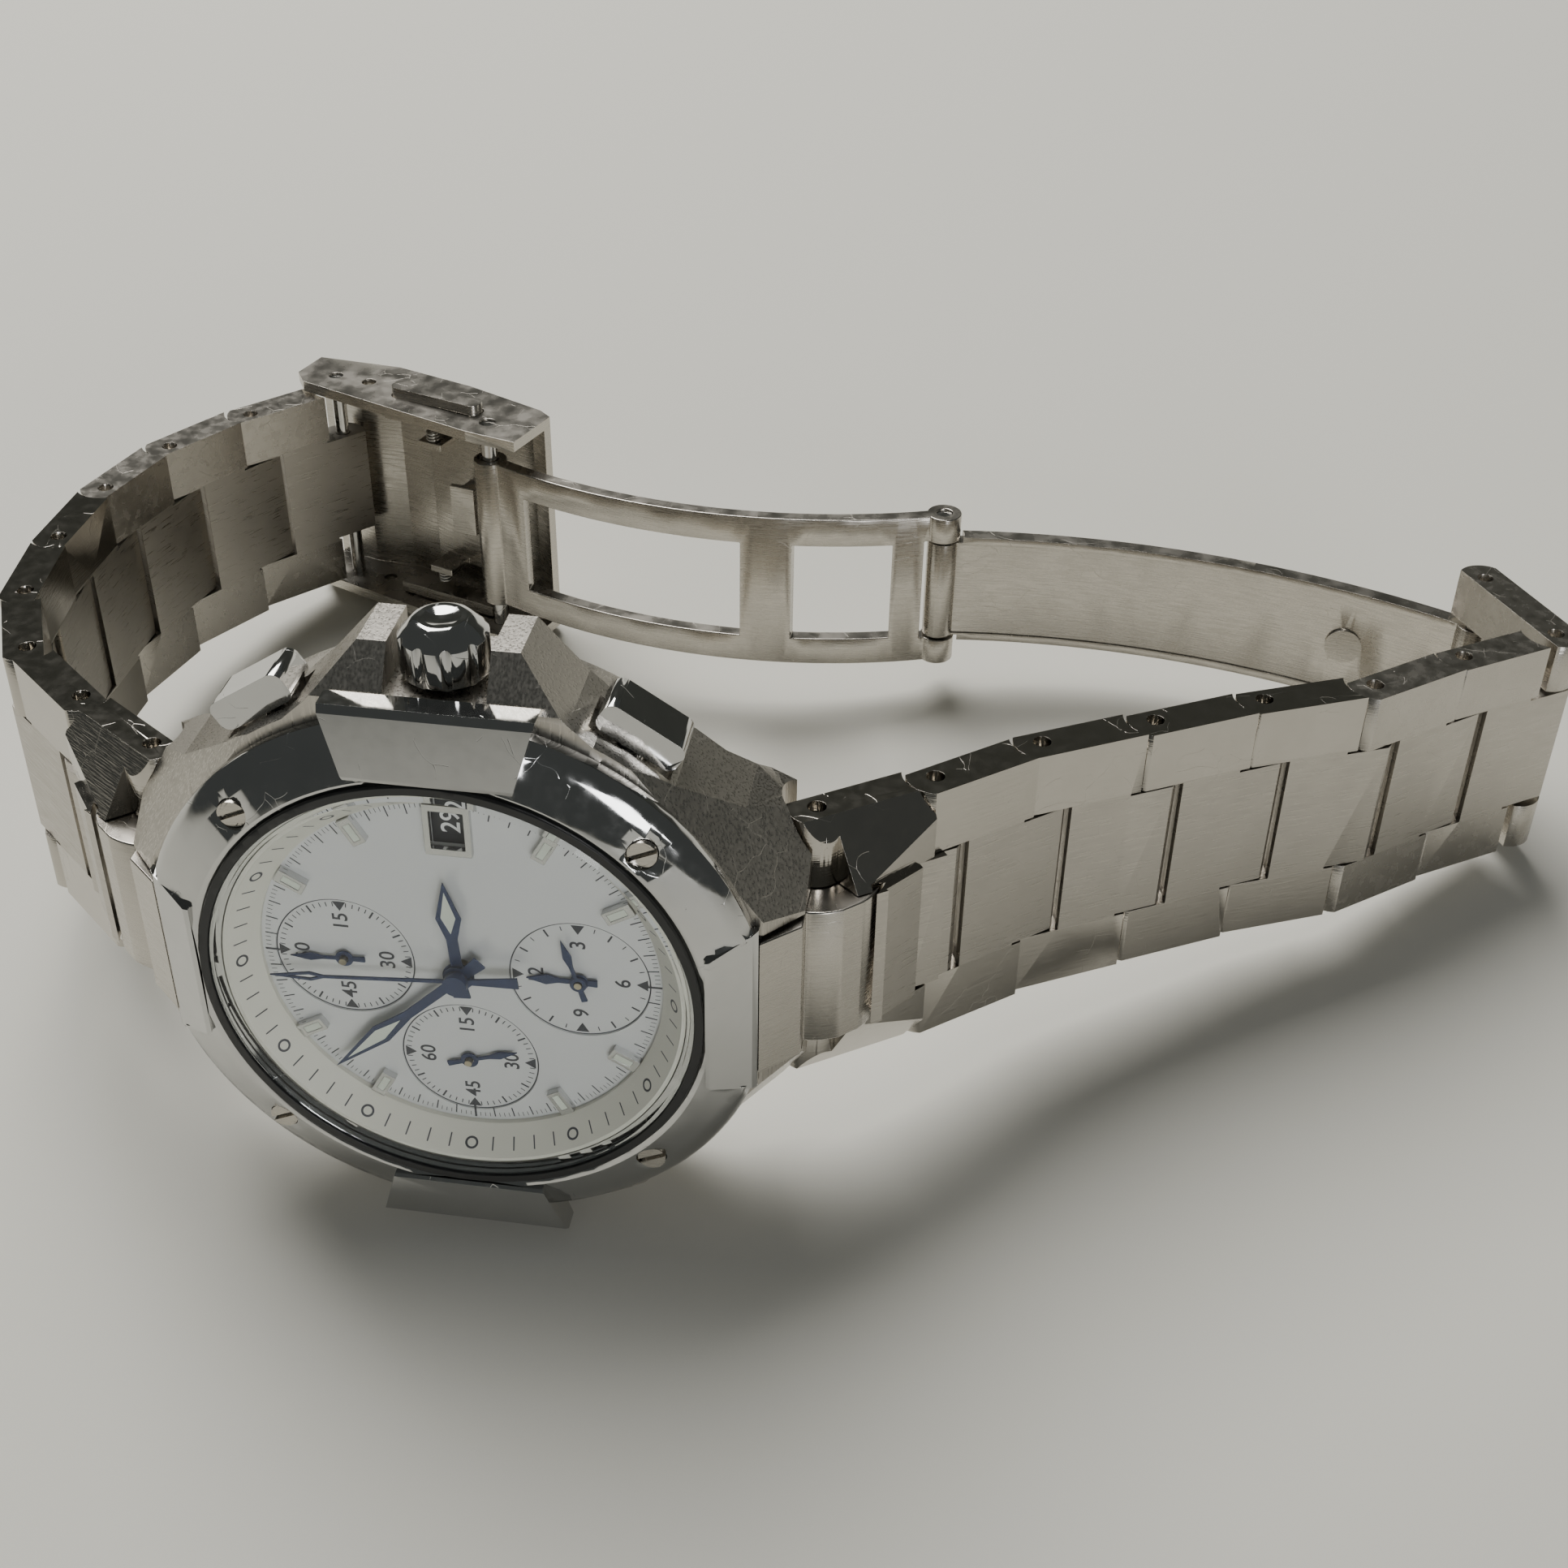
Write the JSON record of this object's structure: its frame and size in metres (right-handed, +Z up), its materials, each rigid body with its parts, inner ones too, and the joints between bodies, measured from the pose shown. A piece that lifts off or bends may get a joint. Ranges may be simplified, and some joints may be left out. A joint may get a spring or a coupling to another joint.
{
  "type": "chronograph wristwatch",
  "caption": "Round steel quartz alarm chronograph wristwatch with link bracelet and fold-over clasp, lying on its side with the clasp open.",
  "frame": {"origin": "centre of the bounding box at floor height; the watch lies on its nine o'clock side", "axes": "+Z up from the floor, -Y the way the dial faces, -X toward twelve o'clock"},
  "size_m": [0.1192, 0.0762, 0.0465],
  "materials": {
    "case_steel": "stainless steel, brushed along the lugs, light handling scratches",
    "polished_steel": "stainless steel, polished",
    "link_steel": "stainless steel, brushed centres with polished sides",
    "clasp_steel": "pressed stainless steel, satin",
    "pin_steel": "bright drawn steel",
    "crystal_glass": "clear mineral glass",
    "black_rubber": "matt sealing rubber",
    "dial_silver": "silver-white lacquer",
    "ring_cream": "satin cream with dark print",
    "hand_blue": "blue-black lacquer",
    "disc_black": "black with white numbers",
    "brass_plate": "nickel-silver and brass plates",
    "holder_plastic": "moulded plastic"
  },
  "bodies": {
    "case": {"case_middle": "case_steel", "caseback": "polished_steel", "caseback_gasket": "black_rubber", "bezel": "polished_steel", "bezel_screws": "polished_steel", "crystal": "crystal_glass", "crystal_gasket": "black_rubber", "chapter_ring": "ring_cream", "dial": "dial_silver", "hour_markers": "polished_steel", "date_frame": "polished_steel", "movement": "brass_plate", "movement_holder": "holder_plastic", "battery": "pin_steel", "crown_tube": "pin_steel", "pusher_springs": "pin_steel", "end_link_12": "case_steel", "end_link_6": "case_steel", "lug_bars": "pin_steel"},
    "date_disc": {"date_disc": "disc_black"},
    "stem": {"stem": "pin_steel"},
    "crown": {"crown": "polished_steel"},
    "pusher_2": {"pusher_2": "polished_steel"},
    "pusher_4": {"pusher_4": "polished_steel"},
    "hour_hand": {"hour_hand": "hand_blue"},
    "minute_hand": {"minute_hand": "hand_blue"},
    "chrono_seconds_hand": {"chrono_seconds_hand": "hand_blue"},
    "minute_counter_hand": {"minute_counter_hand": "hand_blue"},
    "small_seconds_hand": {"small_seconds_hand": "hand_blue"},
    "alarm_hour_hand": {"alarm_hour_hand": "hand_blue"},
    "alarm_minute_hand": {"alarm_minute_hand": "hand_blue"},
    "link_12_1": {"link_12_1": "link_steel"},
    "link_12_2": {"link_12_2": "link_steel"},
    "link_12_3": {"link_12_3": "link_steel"},
    "link_12_4": {"link_12_4": "link_steel"},
    "link_12_5": {"link_12_5": "link_steel"},
    "link_12_6": {"link_12_6": "link_steel"},
    "link_12_7": {"link_12_7": "link_steel"},
    "link_12_8": {"link_12_8": "link_steel"},
    "link_6_1": {"link_6_1": "link_steel"},
    "link_6_2": {"link_6_2": "link_steel"},
    "link_6_3": {"link_6_3": "link_steel"},
    "link_6_4": {"link_6_4": "link_steel"},
    "link_6_5": {"link_6_5": "link_steel"},
    "link_6_6": {"link_6_6": "link_steel"},
    "link_6_7": {"link_6_7": "link_steel"},
    "link_6_8": {"link_6_8": "link_steel"},
    "clasp_cover": {"clasp_cover": "clasp_steel", "button_springs": "pin_steel", "catch_plate": "clasp_steel", "cover_hinge_pin": "pin_steel", "cover_spring_bar": "pin_steel"},
    "clasp_button_3": {"clasp_button_3": "clasp_steel"},
    "clasp_button_9": {"clasp_button_9": "clasp_steel"},
    "blade_1": {"blade_1": "clasp_steel", "blade_hinge_pin": "pin_steel"},
    "blade_2": {"blade_2": "clasp_steel", "blade_spring_bar": "pin_steel"}
  },
  "joints": [
    {"name": "link_12_1_turn", "type": "hinge", "parent": "case", "child": "link_12_1", "pos_m": [-0.03813, -0.0247, 0.02195], "axis": [0.0517, 0.1926, 0.9799], "range_deg": [0, 40]},
    {"name": "link_12_2_turn", "type": "hinge", "parent": "link_12_1", "child": "link_12_2", "pos_m": [-0.04529, -0.01981, 0.02137], "axis": [0.0517, 0.1926, 0.9799], "range_deg": [0, 11]},
    {"name": "link_12_3_turn", "type": "hinge", "parent": "link_12_2", "child": "link_12_3", "pos_m": [-0.05191, -0.01421, 0.02061], "axis": [0.0517, 0.1926, 0.9799], "range_deg": [0, 28]},
    {"name": "link_12_4_turn", "type": "hinge", "parent": "link_12_3", "child": "link_12_4", "pos_m": [-0.0558, -0.00653, 0.01931], "axis": [0.0517, 0.1926, 0.9799], "range_deg": [0, 22.5]},
    {"name": "link_12_5_turn", "type": "hinge", "parent": "link_12_4", "child": "link_12_5", "pos_m": [-0.05717, 0.00191, 0.01772], "axis": [0.0517, 0.1926, 0.9799], "range_deg": [0, 14]},
    {"name": "link_12_6_turn", "type": "hinge", "parent": "link_12_5", "child": "link_12_6", "pos_m": [-0.05718, 0.01045, 0.01605], "axis": [0.0517, 0.1926, 0.9799], "range_deg": [0, 18]},
    {"name": "link_12_7_turn", "type": "hinge", "parent": "link_12_6", "child": "link_12_7", "pos_m": [-0.05524, 0.01875, 0.01431], "axis": [0.0517, 0.1926, 0.9799], "range_deg": [0, 21.5]},
    {"name": "link_12_8_turn", "type": "hinge", "parent": "link_12_7", "child": "link_12_8", "pos_m": [-0.05097, 0.02614, 0.01263], "axis": [0.0517, 0.1926, 0.9799], "range_deg": [0, 16.5]},
    {"name": "link_6_1_turn", "type": "hinge", "parent": "case", "child": "link_6_1", "pos_m": [0.00621, -0.0247, 0.01961], "axis": [-0.0517, -0.1926, -0.9799], "range_deg": [0, 39]},
    {"name": "link_6_2_turn", "type": "hinge", "parent": "link_6_1", "child": "link_6_2", "pos_m": [0.01337, -0.01993, 0.0183], "axis": [-0.0517, -0.1926, -0.9799], "range_deg": [0, 10]},
    {"name": "link_6_3_turn", "type": "hinge", "parent": "link_6_2", "child": "link_6_3", "pos_m": [0.02006, -0.01456, 0.01689], "axis": [-0.0517, -0.1926, -0.9799], "range_deg": [0, 5]},
    {"name": "link_6_4_turn", "type": "hinge", "parent": "link_6_3", "child": "link_6_4", "pos_m": [0.02762, -0.01042, 0.01567], "axis": [-0.0517, -0.1926, -0.9799], "range_deg": [0, 5]},
    {"name": "link_6_5_turn", "type": "hinge", "parent": "link_6_4", "child": "link_6_5", "pos_m": [0.03517, -0.00628, 0.01446], "axis": [-0.0517, -0.1926, -0.9799], "range_deg": [0, 5]},
    {"name": "link_6_6_turn", "type": "hinge", "parent": "link_6_5", "child": "link_6_6", "pos_m": [0.04307, -0.00281, 0.01336], "axis": [-0.0517, -0.1926, -0.9799], "range_deg": [0, 19]},
    {"name": "link_6_7_turn", "type": "hinge", "parent": "link_6_6", "child": "link_6_7", "pos_m": [0.04987, 0.00245, 0.01197], "axis": [-0.0517, -0.1926, -0.9799], "range_deg": [0, 5]},
    {"name": "link_6_8_turn", "type": "hinge", "parent": "link_6_7", "child": "link_6_8", "pos_m": [0.0571, 0.0071, 0.01068], "axis": [-0.0517, -0.1926, -0.9799], "range_deg": [0, 88]},
    {"name": "cover_swing", "type": "hinge", "parent": "link_12_8", "child": "clasp_cover", "pos_m": [-0.04528, 0.03254, 0.01108], "axis": [0.0517, 0.1926, 0.9799], "range_deg": [0, 50.4]},
    {"name": "clasp_fold", "type": "hinge", "parent": "clasp_cover", "child": "blade_1", "pos_m": [-0.02946, 0.02565, 0.0116], "axis": [-0.0517, -0.1926, -0.9799], "range_deg": [0, 144]},
    {"name": "blade_2_swing", "type": "hinge", "parent": "blade_1", "child": "blade_2", "pos_m": [0.01038, 0.02236, 0.01014], "axis": [0.0517, 0.1926, 0.9799], "range_deg": [0, 151.2]},
    {"name": "clasp_button_3_press", "type": "slide", "parent": "clasp_cover", "child": "clasp_button_3", "axis": [-0.0517, -0.1926, -0.9799], "range_m": [0, 0.0006], "stiffness_N_per_m": 300},
    {"name": "clasp_button_9_press", "type": "slide", "parent": "clasp_cover", "child": "clasp_button_9", "axis": [0.0517, 0.1926, 0.9799], "range_m": [0, 0.0006], "stiffness_N_per_m": 300},
    {"name": "pusher_2_press", "type": "slide", "parent": "case", "child": "pusher_2", "axis": [0.5005, -0.1615, -0.8505], "range_m": [0, 0.0008], "stiffness_N_per_m": 400},
    {"name": "pusher_4_press", "type": "slide", "parent": "case", "child": "pusher_4", "axis": [-0.5872, -0.1615, -0.7931], "range_m": [0, 0.0008], "stiffness_N_per_m": 400},
    {"name": "stem_pull", "type": "slide", "parent": "case", "child": "stem", "axis": [0.0517, 0.1926, 0.9799], "range_m": [0, 0.0015]},
    {"name": "crown_turn", "type": "hinge", "parent": "stem", "child": "crown", "pos_m": [-0.01472, -0.02449, 0.04415], "axis": [0.0517, 0.1926, 0.9799], "continuous": true},
    {"name": "minute_turn", "type": "hinge", "parent": "case", "child": "minute_hand", "pos_m": [-0.01588, -0.03216, 0.02224], "axis": [-0.0101, 0.9813, -0.1923], "continuous": true},
    {"name": "hour_turn", "type": "hinge", "parent": "case", "child": "hour_hand", "pos_m": [-0.01588, -0.03192, 0.0222], "axis": [-0.0101, 0.9813, -0.1923], "continuous": true},
    {"name": "chrono_seconds_turn", "type": "hinge", "parent": "case", "child": "chrono_seconds_hand", "pos_m": [-0.01588, -0.03255, 0.02232], "axis": [-0.0101, 0.9813, -0.1923], "continuous": true},
    {"name": "minute_counter_turn", "type": "hinge", "parent": "case", "child": "minute_counter_hand", "pos_m": [-0.02368, -0.03138, 0.0225], "axis": [-0.0101, 0.9813, -0.1923], "continuous": true},
    {"name": "small_seconds_turn", "type": "hinge", "parent": "case", "child": "small_seconds_hand", "pos_m": [-0.01629, -0.03288, 0.01445], "axis": [-0.0101, 0.9813, -0.1923], "continuous": true},
    {"name": "alarm_minute_turn", "type": "hinge", "parent": "case", "child": "alarm_minute_hand", "pos_m": [-0.0081, -0.0316, 0.02172], "axis": [-0.0101, 0.9813, -0.1923], "continuous": true},
    {"name": "alarm_hour_turn", "type": "hinge", "parent": "case", "child": "alarm_hour_hand", "pos_m": [-0.0081, -0.03138, 0.02168], "axis": [-0.0101, 0.9813, -0.1923], "continuous": true},
    {"name": "date_turn", "type": "hinge", "parent": "case", "child": "date_disc", "pos_m": [-0.0159, -0.03049, 0.02192], "axis": [-0.0101, 0.9813, -0.1923], "continuous": true}
  ],
  "couplings": [
    {"joint": "cover_swing", "follows": "clasp_fold", "ratio": 0.35},
    {"joint": "blade_2_swing", "follows": "clasp_fold", "ratio": 1.05},
    {"joint": "hour_turn", "follows": "minute_turn", "ratio": 0.083333},
    {"joint": "alarm_hour_turn", "follows": "alarm_minute_turn", "ratio": 0.083333},
    {"joint": "minute_counter_turn", "follows": "chrono_seconds_turn", "ratio": 0.016667}
  ]
}
